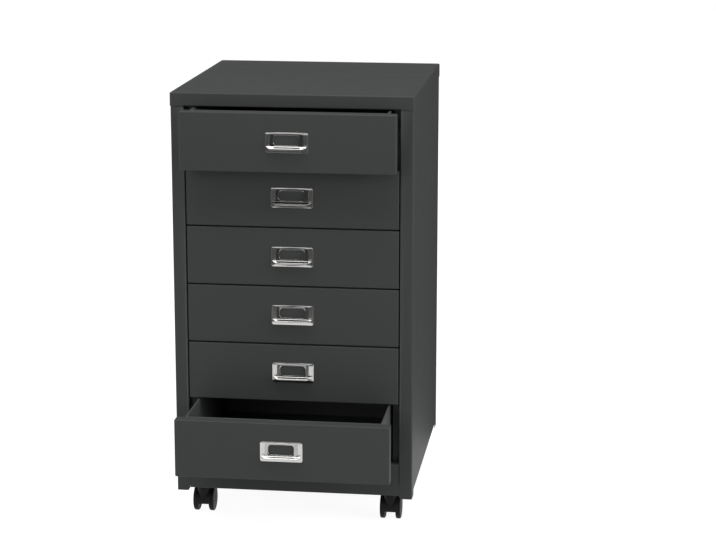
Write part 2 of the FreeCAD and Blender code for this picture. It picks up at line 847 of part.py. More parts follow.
def build():
    """Every piece by name."""
    pieces = {
        "top_cap": top_cap(),
        "side_panel_right": side_panel(),
        "side_panel_left": mirrored(side_panel()),
        "front_rail": front_rail(),
        "base_plate": base_plate(),
        "back_panel": back_panel(),
        "back_panel_screws": back_screws(),
        "rear_upright_right": rear_upright(),
        "rear_upright_left": mirrored(rear_upright()),
    }
    for level in range(1, drawer_count + 1):
        pieces[f"runner_{level}_right"] = runner(level)
        pieces[f"runner_{level}_left"] = mirrored(runner(level))
        pieces[f"drawer_{level}_front"] = drawer_front(level)
        pieces[f"drawer_{level}_tray"] = drawer_tray(level)
        pieces[f"drawer_{level}_pull"] = drawer_pull(level)
    nuts = []
    for name, (x, y) in caster_places().items():
        place = vector(x, y, 0)
        pieces[f"caster_{name}_stem"] = caster_stem().translated(place)
        pieces[f"caster_{name}_hood"] = caster_hood().translated(place)
        pieces[f"caster_{name}_axle"] = caster_axle().translated(place)
        pieces[f"caster_{name}_wheel_right"] = caster_wheel().translated(place)
        pieces[f"caster_{name}_wheel_left"] = mirrored(caster_wheel()).translated(place)
        nuts.append(caster_nut().translated(place))
    pieces["caster_nuts"] = Part.makeCompound(nuts)
    return pieces


def main():
    os.makedirs("parts", exist_ok=True)
    for name, shape in build().items():
        shape.exportStep(f"parts/{name}.step")
        print(name, "solids", len(shape.Solids), "volume", round(shape.Volume), "valid", shape.isValid())


main()
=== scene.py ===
"""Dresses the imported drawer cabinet: powder-coated sheets, chromed pulls and twin-wheel casters."""

import json
import logging
import math
from collections.abc import Sequence
from dataclasses import dataclass, field
from enum import Enum
from functools import cached_property

import bmesh
import bpy
import numpy as np
from mathutils import Matrix, Vector
from numpy.typing import NDArray

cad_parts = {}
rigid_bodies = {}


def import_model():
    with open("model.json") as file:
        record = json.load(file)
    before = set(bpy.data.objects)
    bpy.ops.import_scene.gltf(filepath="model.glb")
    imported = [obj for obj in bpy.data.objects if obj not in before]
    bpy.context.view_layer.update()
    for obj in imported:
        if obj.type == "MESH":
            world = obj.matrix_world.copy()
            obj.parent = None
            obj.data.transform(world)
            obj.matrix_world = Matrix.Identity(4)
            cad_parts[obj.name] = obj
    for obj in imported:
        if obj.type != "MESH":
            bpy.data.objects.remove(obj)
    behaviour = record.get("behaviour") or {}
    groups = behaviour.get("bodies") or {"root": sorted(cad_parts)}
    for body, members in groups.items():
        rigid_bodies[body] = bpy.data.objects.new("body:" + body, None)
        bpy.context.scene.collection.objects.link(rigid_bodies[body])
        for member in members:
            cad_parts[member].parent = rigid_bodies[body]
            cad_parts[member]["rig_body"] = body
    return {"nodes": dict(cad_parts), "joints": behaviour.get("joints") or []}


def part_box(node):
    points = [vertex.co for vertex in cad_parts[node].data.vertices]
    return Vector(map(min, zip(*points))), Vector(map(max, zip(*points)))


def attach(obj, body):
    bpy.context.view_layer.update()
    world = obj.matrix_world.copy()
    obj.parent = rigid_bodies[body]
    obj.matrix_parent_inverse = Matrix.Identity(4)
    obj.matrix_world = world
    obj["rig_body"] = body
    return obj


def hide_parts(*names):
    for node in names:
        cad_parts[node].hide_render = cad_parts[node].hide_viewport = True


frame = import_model()

Array = NDArray[np.float64]
Indices = NDArray[np.int64]
Socket = bpy.types.NodeSocket
Piece = bpy.types.Object
Place = tuple[float, float, float]
Colour = tuple[float, ...]

MM = 0.001
FULL_TURN = 2 * math.pi
RIGHT = np.array([1.0, 0.0, 0.0])
BACKWARDS = np.array([0.0, 1.0, 0.0])
UP = np.array([0.0, 0.0, 1.0])
CASTER_CORNERS = ("front_left", "front_right", "rear_left", "rear_right")
log = logging.getLogger("drawer_cabinet")


# Surfaces


def grid_quads(rows: int, columns: int, wrap_rows: bool = False, wrap_columns: bool = False) -> Indices:
    """Joins a grid of points into quads.

    Point (i, j) has the number i * columns + j. A quad joins (i, j), (i, j+1), (i+1, j+1) and (i+1, j).

    Args:
        rows: the number of rows.
        columns: the number of points in a row.
        wrap_rows: whether the last row joins the first one.
        wrap_columns: whether each row is a closed ring.

    Returns:
        One row of four point numbers for each quad.
    """
    first = np.arange(rows if wrap_rows else rows - 1)
    second = np.arange(columns if wrap_columns else columns - 1)
    i, j = np.meshgrid(first, second, indexing="ij")
    next_i, next_j = (i + 1) % rows, (j + 1) % columns
    corners = (i * columns + j, i * columns + next_j, next_i * columns + next_j, next_i * columns + j)
    return np.stack(corners, axis=-1).reshape(-1, 4)


def rounded_loop(width: float, height: float, radius: float, side_points: int, corner_points: int) -> Array:
    """The outline of a rounded rectangle about the origin, anticlockwise from its upper right corner.

    Each corner is a quarter circle, and each side a straight run. The points of unlike loops pair up.

    Args:
        width: the size along the first axis.
        height: the size along the second axis.
        radius: the corners' radius.
        side_points: points on each side between its corners.
        corner_points: points on each corner.

    Returns:
        The points, one row each.
    """
    turn = np.linspace(0.0, math.pi / 2, corner_points) + np.arange(4)[:, None] * math.pi / 2
    corners = np.array([(1, 1), (-1, 1), (-1, -1), (1, -1)]) * (width / 2 - radius, height / 2 - radius)
    arcs = corners[:, None, :] + radius * np.stack([np.cos(turn), np.sin(turn)], axis=-1)
    share = np.linspace(0.0, 1.0, side_points + 2)[1:-1]
    ends, starts = arcs[:, -1:, :], np.roll(arcs, -1, axis=0)[:, :1, :]
    sides = ends + (starts - ends) * share[None, :, None]
    return np.concatenate([arcs, sides], axis=1).reshape(-1, 2)


def filleted_line(points: Sequence[tuple[float, float]], radii: Sequence[float], steps: int) -> Array:
    """An open line whose inner corners are rounded.

    Each inner corner is cut back by r * tan(turn / 2) on both sides, and the cut is bridged with a quadratic
    curve whose middle control point is the corner.

    Args:
        points: the line's corners.
        radii: the radius at each inner corner.
        steps: points on each bridge.

    Returns:
        The points of the rounded line.
    """
    corners = np.array(points, dtype=float)
    parts: list[Array] = [corners[:1]]
    share = np.linspace(0.0, 1.0, steps)[:, None]
    for before, corner, after, radius in zip(corners[:-2], corners[1:-1], corners[2:], radii):
        back = (before - corner) / np.linalg.norm(before - corner)
        ahead = (after - corner) / np.linalg.norm(after - corner)
        opening = math.acos(float(np.clip(back @ ahead, -1.0, 1.0)))
        reach = radius / math.tan(opening / 2)
        start, end = corner + back * reach, corner + ahead * reach
        parts.append((1 - share) ** 2 * start + 2 * share * (1 - share) * corner + share**2 * end)
    parts.append(corners[-1:])
    return np.concatenate(parts)


def eased(value: Array) -> Array:
    """A smooth step: 3 t^2 - 2 t^3 of the value held between 0 and 1."""
    held = np.clip(value, 0.0, 1.0)
    return held * held * (3.0 - 2.0 * held)


def quarter_bend(radius: float, steps: int) -> tuple[Array, Array]:
    """A rounded edge's two offsets, r (1 - cos t) and r (1 - sin t), for t from 0 to a right angle."""
    bend = np.linspace(0.0, math.pi / 2, steps)
    return radius * (1 - np.cos(bend)), radius * (1 - np.sin(bend))


def turns(count: int) -> Array:
    """Evenly spaced turns round an axis, in radians."""
    return np.linspace(0.0, FULL_TURN, count, endpoint=False)


def bridged(inner: Array, outer: Array, share: Array) -> Array:
    """Points at shares of the way between paired points of two outlines, one row for each pair."""
    return inner[:, None, :] + (outer - inner)[:, None, :] * share[..., None]


def places_on(outline: Array, axis: int, level: float) -> Array:
    """The places, on the other axis, of an outline's points at a level of one axis, in rising order."""
    near = np.abs(outline[:, axis] - level) < 1e-7
    return np.unique(np.round(outline[near, 1 - axis], 8))


@dataclass(frozen=True)
class Axis:
    """A place and three directions that a turned or pressed shape is laid out in."""

    origin: Array
    along: Array
    side: Array
    third: Array

    def place(self, along: Array | float, side: Array | float, third: Array | float) -> Array:
        """Turns distances along the three directions into points of the scene.

        Args:
            along: distances along the axis.
            side: distances to its side.
            third: distances in its third direction.

        Returns:
            The points, with x, y and z in the last dimension.
        """
        return (
            self.origin
            + np.asarray(along)[..., None] * self.along
            + np.asarray(side)[..., None] * self.side
            + np.asarray(third)[..., None] * self.third
        )


def square_axis(origin: Array, along: Array, side: Array) -> Axis:
    """An axis whose third direction is square to the other two."""
    return Axis(origin, along, side, np.cross(along, side))


def placed(name: str, data: bpy.types.ID) -> Piece:
    """Makes an object of a mesh, a light or a camera, at the origin of the scene.

    Args:
        name: the object's name.
        data: the mesh, light or camera.

    Returns:
        The new object.
    """
    piece = bpy.data.objects.new(name, data)
    bpy.context.scene.collection.objects.link(piece)
    return piece


def welded(mesh: bpy.types.Mesh, merge: float, turn_outwards: bool) -> None:
    """Merges a mesh's points that lie close together.

    Args:
        mesh: the mesh.
        merge: the distance under which points become one.
        turn_outwards: whether its faces are turned outwards too.
    """
    work = bmesh.new()
    work.from_mesh(mesh)
    bmesh.ops.remove_doubles(work, verts=work.verts, dist=merge)
    if turn_outwards:
        bmesh.ops.recalc_face_normals(work, faces=work.faces)
    work.to_mesh(mesh)
    work.free()


def smoothed(mesh: bpy.types.Mesh, sharp: float) -> None:
    """Shades a mesh smooth, apart from the edges that turn by more than an angle in degrees."""
    mesh.shade_smooth()
    mesh.set_sharp_from_angle(angle=math.radians(sharp))


def read(items: bpy.types.bpy_prop_collection, name: str, size: int) -> Array:
    """Reads a property of all vertices or faces of a mesh.

    Args:
        items: the vertices or faces.
        name: the property's name.
        size: how many numbers it has.

    Returns:
        One row of numbers for each vertex or face.
    """
    values = np.zeros(len(items) * size)
    items.foreach_get(name, values)
    return values.reshape(-1, size)


@dataclass
class Surface:
    """Points and faces that grow part by part and then become one mesh."""

    name: str
    points: list[Array] = field(default_factory=list)
    faces: list[list[int]] = field(default_factory=list)
    count: int = 0

    def add(self, points: Array, faces: Indices) -> None:
        """Adds points and the faces that join them.

        Args:
            points: places x, y, z, in rows or in a grid.
            faces: rows of point numbers, counted within these points.
        """
        self.faces.extend((faces + self.count).tolist())
        self.points.append(points.reshape(-1, 3))
        self.count += len(self.points[-1])

    def grid(self, points: Array, wrap_rows: bool = False, wrap_columns: bool = False) -> None:
        """Adds a grid of points and the quads that join them."""
        self.add(points, grid_quads(points.shape[0], points.shape[1], wrap_rows, wrap_columns))

    def tube(self, rings: Array) -> None:
        """Adds rings of points, joined in their order, and a face across each end.

        Args:
            rings: the rings of points, one row each.
        """
        self.grid(rings, wrap_columns=True)
        for ring in (rings[0], rings[-1]):
            self.add(ring, np.arange(len(ring))[None, :])

    def revolve(self, axis: Axis, along: Array, radius: Array, turn: Array, wrap_rows: bool = False) -> None:
        """Adds a turned surface, whose point at the turn t lies r cos t and r sin t beside the axis.

        Args:
            axis: the axis and its zero turn.
            along: the distances along the axis, one for each row or point.
            radius: the radii r, one for each row or point.
            turn: the turns t.
            wrap_rows: whether the last row joins the first one.
        """
        points = axis.place(along, radius * np.cos(turn), radius * np.sin(turn))
        self.grid(points, wrap_rows, wrap_columns=True)

    def lathe(self, axis: Axis, profile: Array, segments: int) -> None:
        """Turns a profile, rows of distance along the axis and radius, round the axis."""
        self.revolve(axis, profile[:, :1], profile[:, 1:], turns(segments))

    def piece(self, merge: float = 1e-7, sharp: float = 35.0) -> Piece:
        """Makes the object: merges doubles, turns the faces outwards and shades it smooth.

        Args:
            merge: the distance in metres under which points become one.
            sharp: the angle in degrees over which an edge stays sharp.

        Returns:
            The new object, at the origin.
        """
        mesh = bpy.data.meshes.new(self.name)
        mesh.from_pydata(np.concatenate(self.points).tolist(), [], self.faces)
        welded(mesh, merge, turn_outwards=True)
        smoothed(mesh, sharp)
        return placed(self.name, mesh)


# Finishes


def grey(value: float) -> Colour:
    """An even grey."""
    return (value, value, value, 1.0)


def scaled(colour: Colour, factor: float) -> Colour:
    """A colour made lighter or darker by a factor."""
    return tuple(channel * factor for channel in colour)


class NodeTree:
    """A short way to add and join the shader nodes of a material or the world."""

    PATTERN_LOW = 0.3
    PATTERN_HIGH = 0.7

    def __init__(self, owner: bpy.types.ID) -> None:
        """Switches the owner's nodes on.

        Args:
            owner: the material or the world.
        """
        owner.use_nodes = True
        self.owner = owner
        self.tree = owner.node_tree

    @cached_property
    def shader(self) -> bpy.types.Node:
        """The material's Principled shader."""
        return self.tree.nodes["Principled BSDF"]

    @cached_property
    def coordinates(self) -> Socket:
        """The object's own coordinates."""
        return self.add("ShaderNodeTexCoord").outputs["Object"]

    def add(self, kind: str, *ordered: object, **named: object) -> bpy.types.Node:
        """Adds a node and sets its inputs.

        Args:
            kind: the node's type name.
            ordered: a value, or an output to join, for each of its first inputs.
            named: the same for inputs by their names.

        Returns:
            The node.
        """
        node = self.tree.nodes.new(kind)
        for socket, value in zip(node.inputs, ordered):
            self.put(socket, value)
        self.put_all(node, **named)
        return node

    def put(self, socket: Socket, value: object) -> None:
        """Joins an output to a socket, or sets the socket's value.

        Args:
            socket: the input.
            value: the output or the value.
        """
        if isinstance(value, Socket):
            self.tree.links.new(value, socket)
        else:
            socket.default_value = value

    def put_all(self, node: bpy.types.Node, **sockets: object) -> None:
        """Sets or joins a node's inputs by their names, with an underscore for a space."""
        for key, value in sockets.items():
            self.put(node.inputs[key.replace("_", " ")], value)

    def finish(self, **sockets: object) -> None:
        """Sets or joins the Principled shader's inputs."""
        self.put_all(self.shader, **sockets)

    def noise(self, cells: float, detail: float = 2.0) -> Socket:
        """A noise pattern with so many cells for each metre of the object and so many finer layers."""
        node = self.add("ShaderNodeTexNoise", Vector=self.coordinates, Scale=cells, Detail=detail)
        return node.outputs["Fac"]

    def spread(self, pattern: Socket, low: float, high: float) -> Socket:
        """Maps a pattern's middle range to the range from low to high."""
        node = self.add("ShaderNodeMapRange", pattern, self.PATTERN_LOW, self.PATTERN_HIGH, low, high)
        return node.outputs["Result"]

    def tint(self, pattern: Socket, first: Colour, second: Colour) -> Socket:
        """Lets a colour wander between two others over a pattern's middle range.

        Args:
            pattern: the pattern.
            first: the colour at its low end.
            second: the colour at its high end.

        Returns:
            The colour's output.
        """
        ramp = self.add("ShaderNodeValToRGB", Fac=pattern)
        low, high = ramp.color_ramp.elements
        low.position, low.color = self.PATTERN_LOW, (*first[:3], 1.0)
        high.position, high.color = self.PATTERN_HIGH, (*second[:3], 1.0)
        return ramp.outputs["Color"]

    def speckled(self, colour: Socket, cells: float, shade: float) -> Socket:
        """Darkens a colour in fine speckles.

        Args:
            colour: the colour.
            cells: the speckles' cells for each metre.
            shade: the factor in the darkest ones.

        Returns:
            The speckled colour's output.
        """
        mixed = self.add("ShaderNodeMix", 1.0)
        mixed.data_type, mixed.blend_type = "RGBA", "MULTIPLY"
        self.put(mixed.inputs[6], colour)
        self.put(mixed.inputs[7], self.tint(self.noise(cells, 1.0), grey(shade), grey(1.0)))
        return mixed.outputs[2]

    def bump(self, *layers: tuple[Socket, float, float]) -> None:
        """Adds bump layers.

        Args:
            layers: for each layer its pattern, its strength and its height in metres.
        """
        below: dict[str, Socket] = {}
        for pattern, strength, height in layers:
            node = self.add("ShaderNodeBump", Height=pattern, Strength=strength, Distance=height, **below)
            below = {"Normal": node.outputs["Normal"]}
        self.finish(**below)

    def seen_directly(self) -> Socket:
        """Tells the rays that see a surface from those that carry its light.

        Returns:
            An output of one for camera, glossy and transmission rays and of zero for the others.
        """
        path = self.add("ShaderNodeLightPath").outputs
        seen = path["Is Camera Ray"]
        for kind in ("Is Glossy Ray", "Is Transmission Ray"):
            either = self.add("ShaderNodeMath", seen, path[kind])
            either.operation = "MAXIMUM"
            seen = either.outputs[0]
        return seen


@dataclass(frozen=True)
class Texture:
    """The fine structure that surfaces of one kind share.

    A pattern is its cells for each metre and its finer layers. A bump is its cells, its strength and its
    height in metres.
    """

    tint_pattern: tuple[float, float]
    gloss_pattern: tuple[float, float]
    bumps: tuple[tuple[float, float, float], ...]
    metallic: float = 0.0
    specular: float = 0.5
    speckle_cells: float = 0.0
    speckle_shade: float = 1.0


class Kind(Enum):
    """Powder coat with speckles and an orange peel, scratched plating, and plastic with flow and grain."""

    POWDER_COAT = Texture(
        tint_pattern=(5.0, 3.0),
        gloss_pattern=(38.0, 3.0),
        bumps=((520.0, 0.22, 0.06 * MM), (2340.0, 0.12, 0.015 * MM)),
        specular=0.18,
        speckle_cells=2600.0,
        speckle_shade=0.94,
    )
    PLATED = Texture(
        tint_pattern=(160.0, 3.0),
        gloss_pattern=(420.0, 3.0),
        bumps=((1248.0, 0.05, 0.02 * MM),),
        metallic=1.0,
    )
    MOULDED = Texture(
        tint_pattern=(120.0, 5.0),
        gloss_pattern=(120.0, 5.0),
        bumps=((210.0, 0.15, 0.12 * MM), (1900.0, 0.25, 0.03 * MM)),
        specular=0.14,
    )


@dataclass(frozen=True)
class Finish:
    """A finish whose tint, a factor on its colour, and whose roughness each wander between two bounds."""

    name: str
    kind: Kind
    colour: Colour
    tint: tuple[float, float]
    roughness: tuple[float, float]

    def material(self) -> bpy.types.Material:
        """Builds the material.

        Returns:
            The material, under the finish's name.
        """
        texture = self.kind.value
        nodes = NodeTree(bpy.data.materials.new(self.name))
        low, high = (scaled(self.colour, factor) for factor in self.tint)
        colour = nodes.tint(nodes.noise(*texture.tint_pattern), low, high)
        if texture.speckle_cells:
            colour = nodes.speckled(colour, texture.speckle_cells, texture.speckle_shade)
        nodes.finish(
            Base_Color=colour,
            Metallic=texture.metallic,
            Roughness=nodes.spread(nodes.noise(*texture.gloss_pattern), *self.roughness),
            Specular_IOR_Level=texture.specular,
        )
        nodes.bump(*((nodes.noise(cells), strength, height) for cells, strength, height in texture.bumps))
        return nodes.owner


class Finishes:
    """Each finish of the cabinet, built once, under the name of its record slot."""

    CHARCOAL = (0.0415, 0.0440, 0.0428)
    # The trays' colour is the charcoal paint made 1.6 times lighter. This is painted light, standing in for
    # light that hardly reaches inside the drawers.
    TRAY_CHARCOAL_PAINTED_LIGHTER = (0.0664, 0.0704, 0.06848)
    CHROME = (0.50, 0.495, 0.485)
    ZINC = (0.56, 0.575, 0.60)
    HOOD_BLACK = (0.0052, 0.0052, 0.0056)
    WHEEL_BLACK = (0.0044, 0.0044, 0.0048)
    SHEET_MERGE = 0.001 * MM
    SHEET_SHARP = 28.0

    def __init__(self) -> None:
        """Builds the materials."""
        finishes = (
            Finish("charcoal_paint", Kind.POWDER_COAT, self.CHARCOAL, (0.988, 1.012), (0.52, 0.57)),
            # tray_paint carries painted light: the charcoal lightened so the dim drawer insides render
            # brighter.
            Finish("tray_paint", Kind.POWDER_COAT, self.TRAY_CHARCOAL_PAINTED_LIGHTER, (0.988, 1.012), (0.56, 0.61)),
            Finish("pull_chrome", Kind.PLATED, self.CHROME, (0.95, 1.04), (0.096, 0.15)),
            Finish("zinc_steel", Kind.PLATED, self.ZINC, (0.95, 1.04), (0.272, 0.425)),
            Finish("black_plastic", Kind.MOULDED, self.HOOD_BLACK, (1.0, 1.35), (0.38, 0.49)),
            Finish("wheel_plastic", Kind.MOULDED, self.WHEEL_BLACK, (1.0, 1.6), (0.45, 0.56)),
        )
        self.materials = {finish.name: finish.material() for finish in finishes}

    def dress(self, piece: Piece, node: str, slot: str) -> None:
        """Puts a finished piece in a node's place, on the same body, and gives it its material.

        Args:
            piece: the object, where the node is.
            node: the node that it stands for.
            slot: the record's material slot.
        """
        body = frame["nodes"][node]["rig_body"]
        piece.data.materials.clear()
        piece.data.materials.append(self.materials[slot])
        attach(piece, body)
        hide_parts(node)
        log.info("%s on %s, finish %s, %d faces", piece.name, body, slot, len(piece.data.polygons))

    def dress_sheet(self, node: str, slot: str) -> None:
        """Replaces a folded sheet with a copy whose facets are joined and whose bends are shaded smooth.

        Args:
            node: the sheet's node.
            slot: the record's material slot.
        """
        mesh = frame["nodes"][node].data.copy()
        welded(mesh, self.SHEET_MERGE, turn_outwards=False)
        smoothed(mesh, self.SHEET_SHARP)
        self.dress(placed(f"{node}_sheet", mesh), node, slot)


# Casing


@dataclass
class Casing:
    """Top cap, sides, rail, base, back, uprights and runners."""

    finishes: Finishes
    drawer_count: int

    def build(self) -> None:
        """Dresses every sheet of the casing."""
        names = ["top_cap", "side_panel_left", "side_panel_right", "front_rail", "base_plate", "back_panel"]
        names += ["rear_upright_left", "rear_upright_right"]
        for level in range(1, self.drawer_count + 1):
            names += [f"runner_{level}_left", f"runner_{level}_right"]
        for name in names:
            self.finishes.dress_sheet(name, "charcoal_paint")


@dataclass
class Screw:
    """A pan-head screw with a cross recess and a wound thread."""

    surface: Surface
    axis: Axis
    head_radius: float = 3.6 * MM
    head_height: float = 1.9 * MM
    recess_width: float = 0.95 * MM
    recess_reach: float = 2.0 * MM
    recess_depth: float = 1.1 * MM
    recess_wall: float = 0.25 * MM
    head_rings: int = 30
    head_segments: int = 72
    shank_radius: float = 1.7 * MM
    shank_length: float = 9.0 * MM
    tip_length: float = 2.52 * MM
    thread_pitch: float = 1.4 * MM
    thread_height: float = 0.28 * MM
    shank_rings: int = 64
    shank_segments: int = 24

    def head(self) -> None:
        """Adds a domed disc with two crossed slots sunk into it.

        The height over the seat at radius r is h (1 - (r / R)^4)^(1/2), less the recess's depth within half a
        slot of either cross axis and within the slots' reach, eased over their walls.
        """
        radius = np.linspace(0.0, 1.0, self.head_rings)[:, None] * self.head_radius
        turn = turns(self.head_segments)
        u, v = radius * np.cos(turn), radius * np.sin(turn)
        dome = self.head_height * np.sqrt(np.clip(1.0 - (radius / self.head_radius) ** 4, 0.0, 1.0))
        across = np.minimum(np.abs(u), np.abs(v))
        slot = eased((self.recess_width / 2 + self.recess_wall / 2 - across) / self.recess_wall)
        ends = eased((self.recess_reach - np.hypot(u, v)) / (2 * self.recess_wall))
        self.surface.revolve(self.axis, dome - self.recess_depth * slot * ends, radius, turn)

    def shank(self) -> None:
        """Adds a tapered shank whose radius rises and falls with the turn, as a thread does.

        The radius at depth a and turn t is R - h + h |sin(pi (a / p - t / 2 pi))|, eased to a tip.
        """
        depth = np.linspace(0.0, self.shank_length, self.shank_rings)[:, None]
        turn = turns(self.shank_segments)
        wave = np.abs(np.sin(math.pi * (depth / self.thread_pitch - turn / FULL_TURN)))
        taper = 1.0 - eased((depth - self.shank_length + self.tip_length) / self.tip_length)
        radius = (self.shank_radius - self.thread_height * (1 - wave)) * taper
        self.surface.revolve(self.axis, -depth, radius, turn)


@dataclass
class BackScrews:
    """The screws down both rear flanges."""

    finishes: Finishes
    rows: int = 4

    def build(self) -> None:
        """Builds all screws as one piece, in two upright rows at the sides of the solids' box."""
        low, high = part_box("back_panel_screws")
        surface = Surface("back_panel_screw_set")
        for x in (low.x + Screw.head_radius, high.x - Screw.head_radius):
            for z in np.linspace(low.z + Screw.head_radius, high.z - Screw.head_radius, self.rows):
                seat = np.array([x, high.y - Screw.head_height, z])
                screw = Screw(surface, square_axis(seat, BACKWARDS, RIGHT))
                screw.head()
                screw.shank()
        self.finishes.dress(surface.piece(), "back_panel_screws", "zinc_steel")


# Drawers


@dataclass
class Pull:
    """The label-holder pull: a plate with a window, a leaning frame over it, two cheeks and the finger lip.

    Its axis starts at the middle of the plate's top edge: out of the drawer, to the right and upwards.
    """

    level: int
    width: float = 64.0 * MM
    height: float = 30.5 * MM
    sheet: float = 1.0 * MM
    corner: float = 3.0 * MM
    plate_edge: float = 0.28 * MM
    frame_width: float = 49.0 * MM
    frame_top: float = 3.0 * MM
    frame_stand_off: float = 6.5 * MM
    root_drop: float = 20.7 * MM
    root_bend: float = 1.6 * MM
    root_rise: float = 0.9 * MM
    reach: float = 11.5 * MM
    lip_fall: float = 2.0 * MM
    lip_edge: float = 2.4 * MM
    lip_bend: float = 1.3 * MM
    root_width: float = 60.0 * MM
    tip_width: float = 48.0 * MM
    taper_start: float = 0.25
    taper_run: float = 0.6
    cheek_foot: float = 0.6 * MM
    window_width: float = 39.3 * MM
    window_top: float = 4.3 * MM
    window_bottom: float = 19.7 * MM
    window_corner: float = 4.6 * MM
    side_points: int = 15
    corner_points: int = 8
    broken_edge: float = 0.22 * MM
    strap_width: float = 4.0 * MM
    strap_round: float = 0.3 * MM
    strap_inset: float = 2.0 * MM
    strap_fold: float = 7.0 * MM
    strap_bend: float = 0.5 * MM
    front_skin: float = 0.7 * MM

    def __post_init__(self) -> None:
        """Takes its place from the solids' boxes and parts its section at the lip's root."""
        low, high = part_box(f"drawer_{self.level}_pull")
        front_low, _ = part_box(f"drawer_{self.level}_front")
        origin = np.array([(low.x + high.x) / 2, front_low.y, high.z])
        self.axis = Axis(origin, -BACKWARDS, RIGHT, UP)
        self.formed = Surface(f"drawer_{self.level}_pull_formed")
        self.flat = Surface(f"drawer_{self.level}_pull_plate")
        section = self.section()
        root = int(np.argmin(np.abs(section[:, 1] + self.root_drop - self.root_rise)))
        self.slope, self.lip_section = section[: root + 1], section[root:]
        self.rim = self.outline(self.frame_width, self.frame_top, -section[root, 1], 0.0)

    def outline(self, width: float, top: float, bottom: float, corner: float) -> Array:
        """A rounded rectangle between two drops below the pull's top.

        Args:
            width: its width.
            top: the drop of its upper side.
            bottom: the drop of its lower side.
            corner: its corners' radius.

        Returns:
            The points of its outline, one row each.
        """
        loop = rounded_loop(width, bottom - top, corner, self.side_points, self.corner_points)
        loop[:, 1] -= (top + bottom) / 2
        return loop

    @property
    def window(self) -> Array:
        """The window's outline."""
        return self.outline(self.window_width, self.window_top, self.window_bottom, self.window_corner)

    def section(self) -> Array:
        """The middle section of the frame and the lip, from the frame's top to the lip's lower edge.

        Returns:
            Rows of (distance out from the plate's back, height against the pull's top, negative downwards).
        """
        tip_drop = self.root_drop + self.lip_fall
        line = [
            (self.sheet, -self.frame_top),
            (self.frame_stand_off, -self.root_drop),
            (self.reach, -tip_drop),
            (self.reach, -tip_drop - self.lip_edge),
        ]
        return filleted_line(line, [self.root_bend, self.lip_bend], 9)

    def plate(self) -> None:
        """Adds the flat plate with its window, as a closed section carried round between two outlines.

        The section's points lie at shares of the way from the window's outline to the plate's, with the front
        edges rounded.
        """
        hole = self.window
        edge = self.outline(self.width, 0.0, self.height, self.corner)
        length = np.linalg.norm(edge - hole, axis=1)[:, None]
        rise, fall = quarter_bend(self.plate_edge, 5)
        inwards = np.concatenate([[0.0], rise])
        out = np.concatenate([[0.0], self.sheet - fall])
        share = np.concatenate([inwards / length, 1.0 - inwards[::-1] / length], axis=1)
        points = bridged(hole, edge, share)
        rows = self.axis.place(np.concatenate([out, out[::-1]]), points[..., 0], points[..., 1])
        self.flat.grid(rows, wrap_rows=True, wrap_columns=True)

    def leaning_face(self) -> None:
        """Adds the ring between the window's outline and the frame's rectangle, on the leaning face."""
        points = bridged(self.window, self.rim, np.linspace(0.0, 1.0, 5)[None, :])
        out = np.interp(-points[..., 1], -self.slope[:, 1], self.slope[:, 0])
        self.formed.grid(self.axis.place(out, points[..., 0], points[..., 1]), wrap_rows=True)

    def lip(self) -> None:
        """Adds the lip: its section carried across the pull, with a width that shrinks towards the tip.

        The first row takes the places of the lower side of the frame's rectangle and goes on in a wing at
        each side. A place x across becomes x (1 + (w - 1) e), where w is the width against the root's, and e
        is eased from nothing in the middle to one at the frame's side.
        """
        half, section = self.frame_width / 2, self.lip_section
        wings = np.linspace(1.0, self.root_width / self.frame_width, 5)[1:] * half
        start = np.concatenate([-wings[::-1], places_on(self.rim, 1, section[0, 1]), wings])
        steps = np.linalg.norm(np.diff(section, axis=0), axis=1)
        travel = np.concatenate([[0.0], np.cumsum(steps)])[:, None]
        shrunk = eased((travel / travel[-1] - self.taper_start) / self.taper_run)
        width = 1.0 - (1.0 - self.tip_width / self.root_width) * shrunk
        across = start * (1 + (width - 1) * eased(np.abs(start) / half))
        self.formed.grid(self.axis.place(section[:, :1], across, section[:, 1:]))

    def cheeks(self) -> None:
        """Adds the cheeks, which join both sides of the frame straight back to the plate."""
        for side in (-self.frame_width / 2, self.frame_width / 2):
            drop = places_on(self.rim, 0, side)[:, None]
            face = np.interp(-drop, -self.slope[:, 1], self.slope[:, 0])
            out = face + (self.cheek_foot - face) * np.linspace(0.0, 1.0, 4)
            self.formed.grid(self.axis.place(out, side, drop))

    def lugs(self) -> None:
        """Adds two straps that pass through the drawer front and lie folded behind it.

        Each is a rounded flat section carried along a bent line, square to it.
        """
        outline = rounded_loop(self.sheet, self.strap_width, self.strap_round, 2, 4)
        x = self.width / 2 - self.strap_inset - self.sheet / 2
        behind = -self.front_skin - self.sheet / 2
        corners = [(self.sheet / 2, x), (behind, x), (behind, x - self.strap_fold + self.sheet / 2)]
        line = filleted_line(corners, [self.strap_bend], 7)
        ahead = np.gradient(line, axis=0)
        ahead /= np.linalg.norm(ahead, axis=1)[:, None]
        normal = np.stack([-ahead[:, 1], ahead[:, 0]], axis=1)
        path = line[:, None, :] + normal[:, None, :] * outline[:, :1]
        drop = outline[:, 1] - self.height / 2
        for sign in (-1.0, 1.0):
            self.flat.tube(self.axis.place(path[..., 0], sign * path[..., 1], drop))

    def build(self) -> Piece:
        """Builds the pull: its front face of frame, lip and cheeks is given its thickness afterwards.

        Returns:
            The pull as one object.
        """
        self.leaning_face()
        self.lip()
        self.cheeks()
        face = self.formed.piece(merge=0.02 * MM, sharp=50.0)
        thicken(face, self.sheet, self.broken_edge, self.axis.along)
        self.plate()
        self.lugs()
        plate = self.flat.piece(sharp=50.0)
        return joined(f"drawer_{self.level}_pull_chromed", [plate, face])


